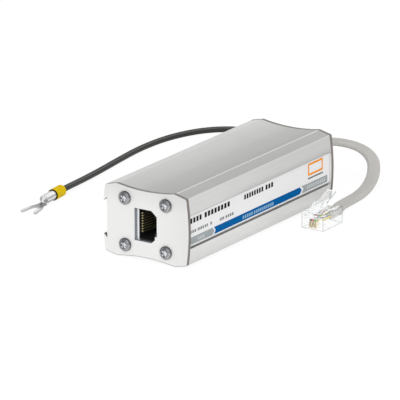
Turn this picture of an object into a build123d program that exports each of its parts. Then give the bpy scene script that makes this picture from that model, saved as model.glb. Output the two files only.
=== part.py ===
"""Telephone surge protector: an extruded aluminium box with a modular jack at its front,
a flat phone cord with a modular plug and an earth lead with a fork terminal at its rear.

The origin lies under the middle of the box, on the surface that it stands on.
+X is the labelled side, -Y the front with the jack and +Z up. Sizes are in millimetres.
"""

import os
from math import cos, hypot, pi, radians, sin, tan

from build123d import *

# Section shared by the housing and both end plates
section_height = 28.2
ridge_x = 12.9
corner_x = 18.2
corner_drop = 1.25
trough_depth = 1.15
side_bulge = 1.0
edge_round = 0.5

# Housing extrusion
body_length = 96.4
wall = 1.5
channel_mouth = 12.4
channel_floor = 15.9
channel_depth = 1.8
channel_overcut = 1.0
serration_count = 6
serration_depth = 0.33
bore_slit = 1.2

# Screws
screw_pitch = 18.3
screw_diameter = 2.9
screw_length = 8.0
screw_head_diameter = 5.1
screw_head_height = 1.7
screw_rim_height = 0.7
screw_dome = 0.22
recess_width = 0.9
recess_span = 2.9
recess_depth = 1.0
recess_taper = 12.0
screw_fit = 0.05
screw_boss_wall = 1.0
plate_hole_clearance = 0.2

# End plates
plate_thickness = 1.5
cutout_width = 10.0
cutout_height = 12.6
cutout_bevel_x = 2.4
cutout_bevel_z = 2.0
cutout_step_x = 0.9
cutout_step_drop = 3.6
cutout_foot_z = 1.4
cutout_foot_x = 2.5

# Circuit board
board_thickness = 1.6
board_front_gap = 1.0
board_rear_gap = 10.4
board_fit = 0.1
groove_wall = 0.45
groove_lip = 1.0
groove_depth = 1.2
solder_tail = 0.6
drill_clearance = 0.15

# Line jack, turned on its side so that its contacts stand in a column
jack_drop = 0.4
jack_width = 15.5
jack_depth = 15.0
jack_roof_x = -6.2
jack_base_x = 6.6
socket_width = 11.7
socket_top_x = -3.9
socket_bottom_x = 2.9
socket_depth = 12.5
latch_slot_width = 6.2
latch_slot_x = 4.3
shield_thickness = 0.25
shield_opening_x = -4.0
shield_setback = 1.0
shield_margin = 0.2
contact_count = 8
contact_pitch = 1.016
contact_wire = 0.4
contact_clearance = 0.05
contact_lift = 0.35
contact_slope = 1.2
contact_reach = 8.4
contact_bend = 0.45
tray_depth = 0.9
tray_width = 8.4
window_gap = 1.2
window_length = 1.6
tail_stagger = 1.6
foot_thickness = 1.5
foot_width = 11.0

# Components on the board
arrester_diameter = 8.0
arrester_length = 10.0
electrode_thickness = 1.1
arrester_lead_pitch = 4.4
arrester_wall = 1.2
arrester_gap = 0.8
arrester_count = 2
arrester_row_gap = 3.2
arrester_spacing = 3.0
lead_wire = 0.6
axial_pitch = 10.16
resistor_diameter = 3.0
resistor_length = 7.0
resistor_count = 4
resistor_row_gap = 5.95
resistor_spacing = 2.0
diode_diameter = 3.6
diode_length = 6.6
diode_count = 2
diode_row_gap = 2.7
diode_spacing = 1.9
board_standoff = 0.3
lead_bend = 0.8

# Phone cord, flat, and its grommet
cord_width = 5.0
cord_thickness = 2.5
cord_exit_x = -5.5
cord_exit_rise = 0.8
cord_edge_share = 0.45
cord_inside = 4.2
core_diameter = 0.9
core_pitch = 1.02
core_count = 4
core_row_inset = 3.3
core_row_gap = 5.5
core_row_z = -1.3
core_row_pitch = 2.0
core_straight = 2.6
core_bend = 1.4
cord_slip = 0.05
cord_guide_rise = 30.0
cord_arc_share = 0.45
grommet_wall = 0.95
grommet_lip = 0.8
grommet_flange = 1.2
grommet_inner_share = 0.6

# Earth lead and its grommet
lead_diameter = 2.4
strand_diameter = 1.5
strand_pad_z = -4.0
strand_straight = 3.0
strand_turn_x = -0.5
strand_bend = 2.0
lead_grommet_wall = 0.65
lead_grommet_lip = 0.65
lead_exit_x = -4.5
lead_exit_drop = 6.2

# Modular plug on the end of the phone cord, lying beside the box
plug_x = 31.2
plug_nose_y = 16.0
plug_width = 9.65
plug_height = 6.6
plug_length = 13.6
cord_entry = 4.6
plug_core_z = 3.3
blade_thickness = 0.35
blade_height = 2.4
blade_depth = 2.6
blade_fit = 0.05
latch_recess_depth = 0.8
latch_recess_width = 6.5
nose_step_length = 2.2
latch_width = 5.6
latch_tab_width = 3.7
latch_shoulder_width = 6.1
latch_thickness = 0.9
latch_length = 13.6
latch_angle = 23.5
latch_root_gap = 0.15
latch_root_y = 1.1
latch_neck = 4.2
latch_shoulder_start = 5.8
latch_tab_start = 6.4
core_tunnel_start = 1.4
blade_inset = 0.2
blade_slot_play = 0.5
tie_from_rear = 3.4
tie_width = 4.2
tie_length = 2.6
tie_depth = 1.5
tie_taper = 12.0

# Fork terminal on the end of the earth lead
terminal_tip = (-70.1, -27.4)
terminal_turn = 96.1
fork_slot = 3.2
fork_depth = 7.1
fork_flare = 7.0
prong_width = 1.25
prong_tip_round = 0.45
fork_thickness = 0.7
fork_shoulder_x = 6.0
neck_width = 2.8
neck_start = 10.2
neck_overlap = 1.4
barrel_start = 12.5
barrel_length = 10.0
barrel_diameter = 3.8
barrel_wall = 0.6
barrel_seam = 0.3
strand_inset = 0.3
lead_inset = 0.2
lead_straight = 3.6
sleeve_start = 19.3
sleeve_length = 6.5
sleeve_diameter = 4.6
sleeve_fit = 0.05
sleeve_mouth_gap = 0.2
sleeve_mouth_length = 1.2
crimp_start = 4.0
crimp_length = 1.3
crimp_depth = 0.6

# Label strip, glued to the floor of the channel
label_thickness = 0.8
label_margin = 0.3
label_end_gap = 0.05

# Places worked out from the sizes above
middle_z = section_height / 2
corner_z = section_height / 2 - corner_drop
half_width = corner_x + side_bulge
half_length = body_length / 2
front_face_y = -half_length - plate_thickness
rear_face_y = half_length + plate_thickness
channel_floor_x = half_width - channel_depth
screw_offset = screw_pitch / 2
bore_radius = screw_diameter / 2 + screw_fit
boss_radius = bore_radius + screw_boss_wall
board_x = screw_offset
board_near_x = board_x - board_thickness / 2
board_far_x = board_x + board_thickness / 2
board_length = body_length - board_front_gap - board_rear_gap
board_front_y = -half_length + board_front_gap
tail_x = board_far_x + solder_tail
jack_front_y = -half_length + shield_thickness
jack_rear_y = jack_front_y + jack_depth
jack_z = middle_z - jack_drop
sleeve_axis_z = sleeve_diameter / 2
cord_exit_z = middle_z + cord_exit_rise
lead_exit_z = middle_z - lead_exit_drop
cord_inner_y = half_length - cord_inside
core_row_y = board_front_y + board_length - core_row_inset

# Points of the two cord routes, chosen by hand
phone_cord_route = [
    (cord_exit_x, cord_inner_y, cord_exit_z),
    (cord_exit_x, 57.5, cord_exit_z),
    (-6.6, 67.0, 14.3),
    (-5.0, 76.4, 13.4),
    (0.5, 83.8, 12.4),
    (8.4, 87.0, 10.5),
    (15.2, 85.0, 7.5),
    (20.0, 77.7, 4.2),
    (23.1, 69.2, 2.3),
    (25.1, 60.3, 1.4),
    (25.9, 51.1, 1.35),
    (27.6, 41.4, 2.2),
    (plug_x, 33.0, plug_core_z),
    (plug_x, plug_nose_y + plug_length - cord_entry, plug_core_z),
]
earth_lead_route = [
    (lead_exit_x, cord_inner_y, lead_exit_z),
    (lead_exit_x, 62.0, lead_exit_z),
    (-8.6, 76.5, 6.2),
    (-18.0, 91.0, 3.0),
    (-32.0, 101.5, 1.3),
    (-47.5, 106.5, 1.2),
    (-62.3, 107.6, 1.2),
    (-73.6, 98.8, 1.2),
    (-79.8, 83.0, 1.2),
    (-81.0, 65.0, 1.2),
    (-79.2, 47.0, 1.2),
    (-76.9, 29.0, 1.2),
    (-75.2, 14.5, 1.5),
]

os.makedirs("parts", exist_ok=True)


def section_plane(y):
    """Plane across the box at y, with its centre on the section's middle; extrusion runs to -Y."""
    return Plane(origin=(0, y, middle_z), x_dir=(1, 0, 0), z_dir=(0, -1, 0))


def section_outline():
    """The outer outline: hollow top and bottom, bulging sides and four sloping facets."""
    top = section_height / 2
    with BuildSketch() as outline:
        with BuildLine():
            ThreePointArc((-ridge_x, top), (0, top - trough_depth), (ridge_x, top))
            Line((ridge_x, top), (corner_x, corner_z))
            ThreePointArc((corner_x, corner_z), (half_width, 0), (corner_x, -corner_z))
            Line((corner_x, -corner_z), (ridge_x, -top))
            ThreePointArc((ridge_x, -top), (0, trough_depth - top), (-ridge_x, -top))
            Line((-ridge_x, -top), (-corner_x, -corner_z))
            ThreePointArc((-corner_x, -corner_z), (-half_width, 0), (-corner_x, corner_z))
            Line((-corner_x, corner_z), (-ridge_x, top))
        make_face()
    return outline.sketch


def rounded_outline():
    """The outer outline with its eight edges rounded."""
    with BuildSketch() as rounded:
        add(section_outline())
        fillet(rounded.vertices(), edge_round)
    return rounded.sketch


def side_channel(side, margin=0.0):
    """The dovetail channel of one side (1 or -1), with a margin of wall round it."""
    flare = (channel_floor - channel_mouth) / 2 / channel_depth
    grown = margin * hypot(1, flare)
    floor_x = channel_floor_x - margin
    open_x = half_width + channel_overcut
    floor_half = channel_mouth / 2 + flare * (half_width - floor_x) + grown
    open_half = channel_mouth / 2 + flare * (half_width - open_x) + grown
    corners = [
        (side * floor_x, -floor_half),
        (side * open_x, -open_half),
        (side * open_x, open_half),
        (side * floor_x, floor_half),
    ]
    with BuildSketch() as channel:
        with BuildLine():
            Polyline(*corners, close=True)
        make_face()
    return channel.sketch


def serrate_facets():
    """Cut fine lengthwise grooves into the four sloping facets."""
    run_x = corner_x - ridge_x
    facet_angle = Vector(run_x, corner_drop).get_angle(Vector(1, 0))
    groove_side = serration_depth * 2**0.5
    for side in (-1, 1):
        for face in (-1, 1):
            for step in range(1, serration_count + 1):
                share = step / (serration_count + 1)
                x = side * (ridge_x + run_x * share)
                z = face * (section_height / 2 - corner_drop * share)
                with Locations((x, z)):
                    turn = 45 - side * face * facet_angle
                    Rectangle(groove_side, groove_side, rotation=turn, mode=Mode.SUBTRACT)


# Housing: one extrusion, with a dovetail channel in each side, four screw channels
# joined to the walls and a pair of board grooves between the screw channels of each side
web_top = section_height / 2 - trough_depth - wall / 4
groove_bottom = screw_offset - bore_radius - groove_wall
board_height = 2 * (groove_bottom - board_fit)
groove_mouth = groove_bottom - groove_depth
groove_width = board_thickness + 2 * board_fit

with BuildPart() as housing_profile:
    with BuildSketch(section_plane(0)):
        add(rounded_outline())
        add(side_channel(-1), mode=Mode.SUBTRACT)
        add(side_channel(1), mode=Mode.SUBTRACT)
        serrate_facets()
    extrude(amount=half_length, both=True)
    with BuildSketch(section_plane(0)):
        add(section_outline())
        offset(amount=-wall, kind=Kind.INTERSECTION, mode=Mode.REPLACE)
        add(side_channel(-1, wall), mode=Mode.SUBTRACT)
        add(side_channel(1, wall), mode=Mode.SUBTRACT)
    extrude(amount=half_length, both=True, mode=Mode.SUBTRACT)
    with BuildSketch(section_plane(0)):
        for side in (-1, 1):
            for face in (-1, 1):
                with Locations((side * screw_offset, face * screw_offset)):
                    Circle(boss_radius)
                with Locations((side * screw_offset, face * (screw_offset + web_top) / 2)):
                    Rectangle(boss_radius, web_top - screw_offset)
                with Locations((side * screw_offset, face * (groove_mouth + screw_offset) / 2)):
                    Rectangle(groove_width + 2 * groove_lip, screw_offset - groove_mouth)
    extrude(amount=half_length, both=True)
    with BuildSketch(section_plane(0)):
        for side in (-1, 1):
            for face in (-1, 1):
                with Locations((side * screw_offset, face * screw_offset)):
                    Circle(bore_radius)
                slit_x = side * (screw_offset - boss_radius / 2)
                with Locations((slit_x, face * screw_offset)):
                    Rectangle(boss_radius, bore_slit)
                with Locations((side * board_x, face * (groove_bottom - groove_depth / 2))):
                    Rectangle(groove_width, groove_depth)
    extrude(amount=half_length, both=True, mode=Mode.SUBTRACT)
housing_profile.part.label = "housing_profile"
export_step(housing_profile.part, "parts/housing_profile.step")


def screw_holes():
    """Take the four clearance holes of an end plate away."""
    with GridLocations(screw_pitch, screw_pitch, 2, 2):
        Circle(screw_diameter / 2 + plate_hole_clearance, mode=Mode.SUBTRACT)


# Front plate: closes the labelled side's channel and leaves the other one open
half_cut_x = cutout_width / 2
half_cut_z = cutout_height / 2
cutout_outline = [
    (-half_cut_x, -half_cut_z),
    (-half_cut_x, half_cut_z),
    (half_cut_x - cutout_bevel_x, half_cut_z),
    (half_cut_x, half_cut_z - cutout_bevel_z),
    (half_cut_x, -cutout_step_drop),
    (half_cut_x - cutout_step_x, -cutout_step_drop),
    (half_cut_x - cutout_step_x, -half_cut_z + cutout_foot_z),
    (half_cut_x - cutout_foot_x, -half_cut_z),
]

with BuildPart() as front_plate:
    with BuildSketch(section_plane(-half_length)):
        add(rounded_outline())
        add(side_channel(-1), mode=Mode.SUBTRACT)
        screw_holes()
        with BuildLine():
            Polyline(*[(x, z - jack_drop) for x, z in cutout_outline], close=True)
        make_face(mode=Mode.SUBTRACT)
    extrude(amount=plate_thickness)
front_plate.part.label = "front_plate"
export_step(front_plate.part, "parts/front_plate.step")

# Rear plate: the same outline, with a slot for the phone cord and a hole for the earth lead
grommet_neck_width = cord_width + 2 * grommet_wall
grommet_neck_height = cord_thickness + 2 * grommet_wall
lead_neck_radius = lead_diameter / 2 + lead_grommet_wall

with BuildPart() as rear_plate:
    with BuildSketch(section_plane(rear_face_y)):
        add(rounded_outline())
        add(side_channel(-1), mode=Mode.SUBTRACT)
        screw_holes()
        with Locations((cord_exit_x, cord_exit_rise)):
            SlotOverall(grommet_neck_width, grommet_neck_height, mode=Mode.SUBTRACT)
        with Locations((lead_exit_x, lead_exit_z - middle_z)):
            Circle(lead_neck_radius, mode=Mode.SUBTRACT)
    extrude(amount=plate_thickness)
rear_plate.part.label = "rear_plate"
export_step(rear_plate.part, "parts/rear_plate.step")

# One screw: domed head with a cross recess, its bearing face at z 0 and its shank below
with BuildPart() as screw:
    head_radius = screw_head_diameter / 2
    with BuildSketch(Plane.XZ):
        with BuildLine():
            Line((0, -screw_length), (screw_diameter / 2, -screw_length))
            Line((screw_diameter / 2, -screw_length), (screw_diameter / 2, 0))
            Line((screw_diameter / 2, 0), (head_radius, 0))
            Line((head_radius, 0), (head_radius, screw_rim_height))
            SagittaArc((head_radius, screw_rim_height), (0, screw_head_height), -screw_dome)
            Line((0, screw_head_height), (0, -screw_length))
        make_face()
    revolve(axis=Axis.Z)
    with BuildSketch(Plane.XY.offset(screw_head_height)):
        Rectangle(recess_span, recess_width)
        Rectangle(recess_width, recess_span)
    extrude(amount=-recess_depth, taper=recess_taper, mode=Mode.SUBTRACT)


def screw_places(y, outward):
    """Four places on the end plate at y, with the heads pointing outward along Y."""
    places = []
    for side in (-1, 1):
        for face in (-1, 1):
            origin = (side * screw_offset, y, middle_z + face * screw_offset)
            places.append(Plane(origin=origin, x_dir=(1, 0, 0), z_dir=(0, outward, 0)).location)
    return places


with BuildPart() as front_screws:
    with Locations(*screw_places(front_face_y, -1)):
        add(screw.part)
front_screws.part.label = "front_screws"
export_step(front_screws.part, "parts/front_screws.step")

with BuildPart() as rear_screws:
    with Locations(*screw_places(rear_face_y, 1)):
        add(screw.part)
rear_screws.part.label = "rear_screws"
export_step(rear_screws.part, "parts/rear_screws.step")

# Jack housing: a black moulding whose socket opens at the front plate; the contact wires
# lie in a tray on its roof and dive through a window into the socket
tray_floor_x = jack_roof_x + tray_depth
window_front_y = jack_front_y + window_gap

with BuildPart() as jack_housing:
    with BuildSketch(section_plane(jack_front_y)):
        with Locations(((jack_roof_x + jack_base_x) / 2, -jack_drop)):
            Rectangle(jack_base_x - jack_roof_x, jack_width)
    extrude(amount=-jack_depth)
    with BuildSketch(section_plane(jack_front_y)):
        with Locations(((socket_top_x + socket_bottom_x) / 2, -jack_drop)):
            Rectangle(socket_bottom_x - socket_top_x, socket_width)
        with Locations(((socket_bottom_x + latch_slot_x) / 2, -jack_drop)):
            Rectangle(latch_slot_x - socket_bottom_x, latch_slot_width)
    extrude(amount=-socket_depth, mode=Mode.SUBTRACT)
    with BuildSketch(section_plane(window_front_y)):
        with Locations(((jack_roof_x + tray_floor_x) / 2, -jack_drop)):
            Rectangle(tray_depth, tray_width)
    extrude(amount=-jack_depth, mode=Mode.SUBTRACT)
    with BuildSketch(section_plane(window_front_y)):
        with Locations(((jack_roof_x + socket_top_x) / 2, -jack_drop)):
            Rectangle(socket_top_x - jack_roof_x, tray_width)
    extrude(amount=-window_length, mode=Mode.SUBTRACT)
    for foot_y in (jack_front_y + 2 * foot_thickness, jack_rear_y - foot_thickness):
        with BuildSketch(section_plane(foot_y)):
            with Locations(((jack_base_x + board_near_x) / 2, -jack_drop)):
                Rectangle(board_near_x - jack_base_x, foot_width)
        extrude(amount=foot_thickness)
jack_housing.part.label = "jack_housing"
export_step(jack_housing.part, "parts/jack_housing.step")

# Jack shield: a folded sheet that wraps the moulding's front, roof and both sides
shield_base_x = jack_base_x - shield_setback
shield_roof_x = jack_roof_x - shield_thickness

with BuildPart() as jack_shield:
    with BuildSketch(section_plane(-half_length)):
        with Locations(((shield_roof_x + shield_base_x) / 2, -jack_drop)):
            Rectangle(shield_base_x - shield_roof_x, jack_width + 2 * shield_thickness)
    extrude(amount=-(jack_depth + shield_thickness + tail_stagger))
    with BuildSketch(section_plane(jack_front_y)):
        with Locations(((jack_roof_x + half_width) / 2, -jack_drop)):
            Rectangle(half_width - jack_roof_x, jack_width)
    extrude(amount=-(jack_depth + tail_stagger), mode=Mode.SUBTRACT)
    with BuildSketch(section_plane(-half_length)):
        with Locations(((shield_opening_x + half_width) / 2, -jack_drop)):
            Rectangle(half_width - shield_opening_x, cutout_height + 2 * shield_margin)
    extrude(amount=-shield_thickness, mode=Mode.SUBTRACT)
jack_shield.part.label = "jack_shield"
export_step(jack_shield.part, "parts/jack_shield.step")


def contact_heights():
    """Heights of the contact wires' middles, lowest first."""
    first = jack_z - contact_pitch * (contact_count - 1) / 2
    return [first + contact_pitch * index for index in range(contact_count)]


def tail_y(index):
    """Where a contact's tail goes down: every second one stands further back."""
    first = jack_rear_y + contact_wire / 2 + contact_clearance
    return first + (index % 2) * tail_stagger / 2


# Contacts: eight spring wires from the board over the roof, back into the socket
with BuildPart() as jack_contacts:
    fold_y = window_front_y + contact_wire
    roof_x = tray_floor_x - contact_wire / 2 - contact_clearance
    rest_x = socket_top_x + contact_lift
    for index, height in enumerate(contact_heights()):
        with BuildSketch(Plane.XY.offset(height - contact_wire / 2)):
            with BuildLine():
                FilletPolyline(
                    (tail_x, tail_y(index)),
                    (roof_x, tail_y(index)),
                    (roof_x, fold_y),
                    (rest_x, fold_y),
                    (rest_x + contact_slope, fold_y + contact_reach),
                    radius=contact_bend,
                )
            trace(line_width=contact_wire)
        extrude(amount=contact_wire)
jack_contacts.part.label = "jack_contacts"
export_step(jack_contacts.part, "parts/jack_contacts.step")


def component_places():
    """Rows of resistors, diodes and arresters in one line from the jack to the core row; the
    gaps between them stretch or shrink with the board."""
    rows = [
        (resistor_count, resistor_diameter, resistor_row_gap, resistor_spacing),
        (diode_count, diode_diameter, diode_row_gap, diode_spacing),
        (arrester_count, arrester_length, arrester_row_gap, arrester_spacing),
    ]
    filled = sum(count * width for count, width, before, between in rows)
    gaps = sum(before + (count - 1) * between for count, width, before, between in rows)
    stretch = (core_row_y - jack_rear_y - filled) / (gaps + core_row_gap)
    y = jack_rear_y
    places = []
    for count, width, before, between in rows:
        row = []
        for step in range(count):
            gap = between if step else before
            y += gap * stretch + width / 2
            row.append(y)
            y += width / 2
        places.append(row)
    return places


resistor_places, diode_places, arrester_places = component_places()


def drill_places():
    """Every hole of the board as (y, height over the section's middle, wire diameter)."""
    holes = [(core_row_y, strand_pad_z, strand_diameter)]
    for index, height in enumerate(contact_heights()):
        holes.append((tail_y(index), height - middle_z, contact_wire))
    for place in resistor_places + diode_places:
        for side in (-1, 1):
            holes.append((place, side * axial_pitch / 2, lead_wire))
    for place in arrester_places:
        for step in (-1, 0, 1):
            holes.append((place + step * arrester_lead_pitch, 0, lead_wire))
    for y, height in core_places():
        holes.append((y, height, core_diameter))
    return holes


def core_places():
    """Where the four cores of the phone cord reach the board: (y, height over the middle)."""
    return [(core_row_y, core_row_z + core_row_pitch * step) for step in range(core_count)]


# Circuit board: slides into the grooves of the labelled side's screw channels
board_plane = Plane(origin=(board_near_x, 0, middle_z), x_dir=(0, 1, 0), z_dir=(1, 0, 0))

with BuildPart() as circuit_board:
    with BuildSketch(board_plane):
        with Locations((board_front_y + board_length / 2, 0)):
            Rectangle(board_length, board_height)
        for y, height, wire_diameter in drill_places():
            with Locations((y, height)):
                Circle(wire_diameter / 2 + drill_clearance, mode=Mode.SUBTRACT)
    extrude(amount=board_thickness)
circuit_board.part.label = "circuit_board"
export_step(circuit_board.part, "parts/circuit_board.step")


def axial_part(y, diameter, length):
    """A resistor or diode lying across the board, its wire bent into two tails."""
    axis_x = board_near_x - board_standoff - diameter / 2
    half_pitch = axial_pitch / 2
    with BuildPart() as axial:
        with BuildLine() as wire:
            FilletPolyline(
                (tail_x, y, middle_z - half_pitch),
                (axis_x, y, middle_z - half_pitch),
                (axis_x, y, middle_z + half_pitch),
                (tail_x, y, middle_z + half_pitch),
                radius=lead_bend,
            )
        with BuildSketch(Plane(origin=wire.line @ 0, z_dir=wire.line % 0)):
            Circle(lead_wire / 2)
        sweep(path=wire.line)
        with BuildSketch(Plane.XY.offset(middle_z - length / 2)):
            with Locations((axis_x, y)):
                Circle(diameter / 2)
        extrude(amount=length)
    return axial


for number, place in enumerate(resistor_places, 1):
    resistor = axial_part(place, resistor_diameter, resistor_length)
    resistor.part.label = f"resistor_{number}"
    export_step(resistor.part, f"parts/resistor_{number}.step")

for number, place in enumerate(diode_places, 1):
    diode = axial_part(place, diode_diameter, diode_length)
    diode.part.label = f"suppressor_diode_{number}"
    export_step(diode.part, f"parts/suppressor_diode_{number}.step")


def arrester_plane(y):
    """Plane across the axis of the gas arresters at y; extrusion runs to +Y."""
    axis_x = board_near_x - board_standoff - arrester_diameter / 2
    return Plane(origin=(axis_x, y, middle_z), x_dir=(1, 0, 0), z_dir=(0, 1, 0))


# Gas arresters: two ceramic rings between three metal electrodes, each with a wire tail
ring_length = (arrester_length - 3 * electrode_thickness) / 2
gas_radius = arrester_diameter / 2 - arrester_wall
stud_radius = gas_radius - arrester_gap

for number, place in enumerate(arrester_places, 1):
    start_y = place - arrester_length / 2
    with BuildPart() as arrester_rings:
        for ring_y in (start_y + electrode_thickness, place + electrode_thickness / 2):
            with BuildSketch(arrester_plane(ring_y)):
                Circle(arrester_diameter / 2)
                Circle(gas_radius, mode=Mode.SUBTRACT)
            extrude(amount=ring_length)
    arrester_rings.part.label = f"arrester_rings_{number}"
    export_step(arrester_rings.part, f"parts/arrester_rings_{number}.step")

    with BuildPart() as arrester_electrodes:
        for step in (-1, 0, 1):
            middle_y = place + step * (ring_length + electrode_thickness)
            with BuildSketch(arrester_plane(middle_y - electrode_thickness / 2)):
                Circle(arrester_diameter / 2)
                if step == 0:
                    Circle(gas_radius, mode=Mode.SUBTRACT)
            extrude(amount=electrode_thickness)
            if step != 0:
                stud_length = ring_length + electrode_thickness / 2 - arrester_gap / 2
                with BuildSketch(arrester_plane(middle_y - step * electrode_thickness / 2)):
                    Circle(stud_radius)
                extrude(amount=-step * stud_length)
            tail_start = board_near_x - board_standoff - electrode_thickness / 2
            with BuildSketch(Plane(origin=(tail_start, 0, 0), x_dir=(0, 1, 0), z_dir=(1, 0, 0))):
                with Locations((place + step * arrester_lead_pitch, middle_z)):
                    Circle(lead_wire / 2)
            extrude(amount=tail_x - tail_start)
    arrester_electrodes.part.label = f"arrester_electrodes_{number}"
    export_step(arrester_electrodes.part, f"parts/arrester_electrodes_{number}.step")


def turn_degrees(before, corner, after):
    """Angle by which a route turns at a corner."""
    return (Vector(*corner) - Vector(*before)).get_angle(Vector(*after) - Vector(*corner))


def route_radii(points):
    """The radius of each corner's arc: a share of the shorter run over tan of half the turn."""
    radii = []
    for before, corner, after in zip(points, points[1:], points[2:]):
        run = min(
            (Vector(*corner) - Vector(*before)).length,
            (Vector(*after) - Vector(*corner)).length,
        )
        half_turn = radians(turn_degrees(before, corner, after)) / 2
        radii.append(cord_arc_share * run / tan(half_turn))
    return radii


def round_tube(points, diameter, name):
    """A round tube along a route of straight runs joined by tangent arcs."""
    radii = route_radii(points)
    with BuildPart() as tube:
        with BuildLine() as path:
            FilletPolyline(*points, radius=radii)
        with BuildSketch(Plane(origin=path.line @ 0, z_dir=path.line % 0)):
            Circle(diameter / 2)
        sweep(path=path.line)
    print(name, "length", round(path.wire().length, 1), "radii", [round(r, 1) for r in radii])
    print(name, "volume over section times length",
          round(tube.part.volume / (pi * diameter**2 / 4 * path.wire().length), 4))
    return tube


# Phone cord: a flat section, kept level by a guide that runs straight above the route
phone_radii = route_radii(phone_cord_route)

with BuildPart() as phone_cord:
    with BuildLine() as phone_path:
        FilletPolyline(*phone_cord_route, radius=phone_radii)
    start_plane = Plane(origin=phone_path.line @ 0, x_dir=(1, 0, 0), z_dir=phone_path.line % 0)
    with BuildSketch(start_plane) as cord_section:
        RectangleRounded(cord_width, cord_thickness, cord_thickness * cord_edge_share)
    guide = phone_path.wire().moved(Location((0, 0, cord_guide_rise)))
    sweep(path=phone_path.line, binormal=guide)
print("phone_cord length", round(phone_path.wire().length, 1),
      "radii", [round(r, 1) for r in phone_radii])
print("phone_cord volume over section times length",
      round(phone_cord.part.volume / (cord_section.sketch.area * phone_path.wire().length), 4))
phone_cord.part.label = "phone_cord"
export_step(phone_cord.part, "parts/phone_cord.step")

# Terminal: its own plane starts at the fork's tip and runs back along the terminal
terminal_plane = Plane(
    origin=(*terminal_tip, 0),
    x_dir=(cos(radians(terminal_turn)), sin(radians(terminal_turn)), 0),
    z_dir=(0, 0, 1),
)
barrel_end = barrel_start + barrel_length
sleeve_end = sleeve_start + sleeve_length
lead_entry = terminal_plane.from_local_coords(Vector(sleeve_end + lead_straight, 0, sleeve_axis_z))
lead_end = terminal_plane.from_local_coords(Vector(barrel_end + lead_inset, 0, sleeve_axis_z))
earth_lead_points = earth_lead_route + [tuple(lead_entry), tuple(lead_end)]
earth_lead = round_tube(earth_lead_points, lead_diameter, "earth_lead")
earth_lead.part.label = "earth_lead"
export_step(earth_lead.part, "parts/earth_lead.step")


def terminal_section(x):
    """Plane across the terminal at x from its tip; extrusion runs back along it."""
    origin = terminal_plane.from_local_coords(Vector(x, 0, sleeve_axis_z))
    return Plane(origin=origin, x_dir=(0, 0, 1), z_dir=terminal_plane.x_dir)


# Fork terminal: flat fork and rolled barrel of one stamping, the barrel open along a seam;
# the fork's slot has straight sides that meet a round end and open towards the tips
fork_bottom = sleeve_axis_z - barrel_diameter / 2
crotch_x = fork_depth - fork_slot / 2
flare_angle = radians(fork_flare)
slot_tangent_x = crotch_x + fork_slot / 2 * sin(flare_angle)
slot_tangent_half = fork_slot / 2 * cos(flare_angle)
slot_open_half = slot_tangent_half + slot_tangent_x * tan(flare_angle)
fork_half_width = slot_open_half + prong_width
shoulder_half_width = fork_half_width - fork_shoulder_x * tan(flare_angle)

with BuildPart() as fork_terminal:
    with BuildSketch(terminal_plane.offset(fork_bottom)) as fork_blank:
        with BuildLine():
            Polyline(
                (0, fork_half_width),
                (fork_shoulder_x, shoulder_half_width),
                (neck_start, neck_width / 2),
                (barrel_start + neck_overlap, neck_width / 2),
                (barrel_start + neck_overlap, -neck_width / 2),
                (neck_start, -neck_width / 2),
                (fork_shoulder_x, -shoulder_half_width),
                (0, -fork_half_width),
                close=True,
            )
        make_face()
        with BuildLine():
            Polyline(
                (0, slot_open_half),
                (slot_tangent_x, slot_tangent_half),
                (slot_tangent_x, -slot_tangent_half),
                (0, -slot_open_half),
                close=True,
            )
        make_face(mode=Mode.SUBTRACT)
        with Locations((crotch_x, 0)):
            Circle(fork_slot / 2, mode=Mode.SUBTRACT)
        fillet(fork_blank.vertices().sort_by(Axis.X)[:4], prong_tip_round)
    extrude(amount=fork_thickness)
    with BuildSketch(terminal_section(barrel_start)):
        Circle(barrel_diameter / 2)
        Circle(barrel_diameter / 2 - barrel_wall, mode=Mode.SUBTRACT)
        with Locations((barrel_diameter / 2, 0)):
            Rectangle(barrel_diameter / 2, barrel_seam, mode=Mode.SUBTRACT)
    extrude(amount=barrel_length)
    with BuildSketch(terminal_section(barrel_start)):
        Circle(barrel_diameter / 2 - barrel_wall)
    extrude(amount=barrel_length, mode=Mode.SUBTRACT)
fork_terminal.part.label = "fork_terminal"
export_step(fork_terminal.part, "parts/fork_terminal.step")

# Bared strands of the lead, held in the barrel
with BuildPart() as terminal_strands:
    with BuildSketch(terminal_section(barrel_start + strand_inset)):
        Circle(barrel_diameter / 2 - barrel_wall - sleeve_fit)
    extrude(amount=barrel_length - strand_inset + lead_inset)
terminal_strands.part.label = "terminal_strands"
export_step(terminal_strands.part, "parts/terminal_strands.step")

# Insulating sleeve over the barrel's rear, with a wider mouth, a narrower passage for the
# lead and a crimp mark across its top
with BuildPart() as terminal_sleeve:
    with BuildSketch(terminal_section(sleeve_start)):
        Circle(sleeve_diameter / 2)
        Circle(lead_diameter / 2 + sleeve_fit, mode=Mode.SUBTRACT)
    extrude(amount=sleeve_length)
    with BuildSketch(terminal_section(sleeve_start)):
        Circle(barrel_diameter / 2 + sleeve_fit)
    extrude(amount=barrel_end - sleeve_start + sleeve_fit, mode=Mode.SUBTRACT)
    with BuildSketch(terminal_section(sleeve_start)):
        Circle(barrel_diameter / 2 + sleeve_mouth_gap)
    extrude(amount=sleeve_mouth_length, mode=Mode.SUBTRACT)
    with BuildSketch(terminal_section(sleeve_start + crimp_start)):
        with Locations((sleeve_diameter / 2, 0)):
            Rectangle(2 * crimp_depth, sleeve_diameter)
    extrude(amount=crimp_length, mode=Mode.SUBTRACT)
terminal_sleeve.part.label = "terminal_sleeve"
export_step(terminal_sleeve.part, "parts/terminal_sleeve.step")

# Grommets: a neck in the plate's hole between two flanges
inner_y = rear_face_y - plate_thickness
grommet_layers = (
    (inner_y - grommet_flange, grommet_flange, grommet_inner_share),
    (inner_y, plate_thickness, 0),
    (rear_face_y, grommet_flange, 1),
)

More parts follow.
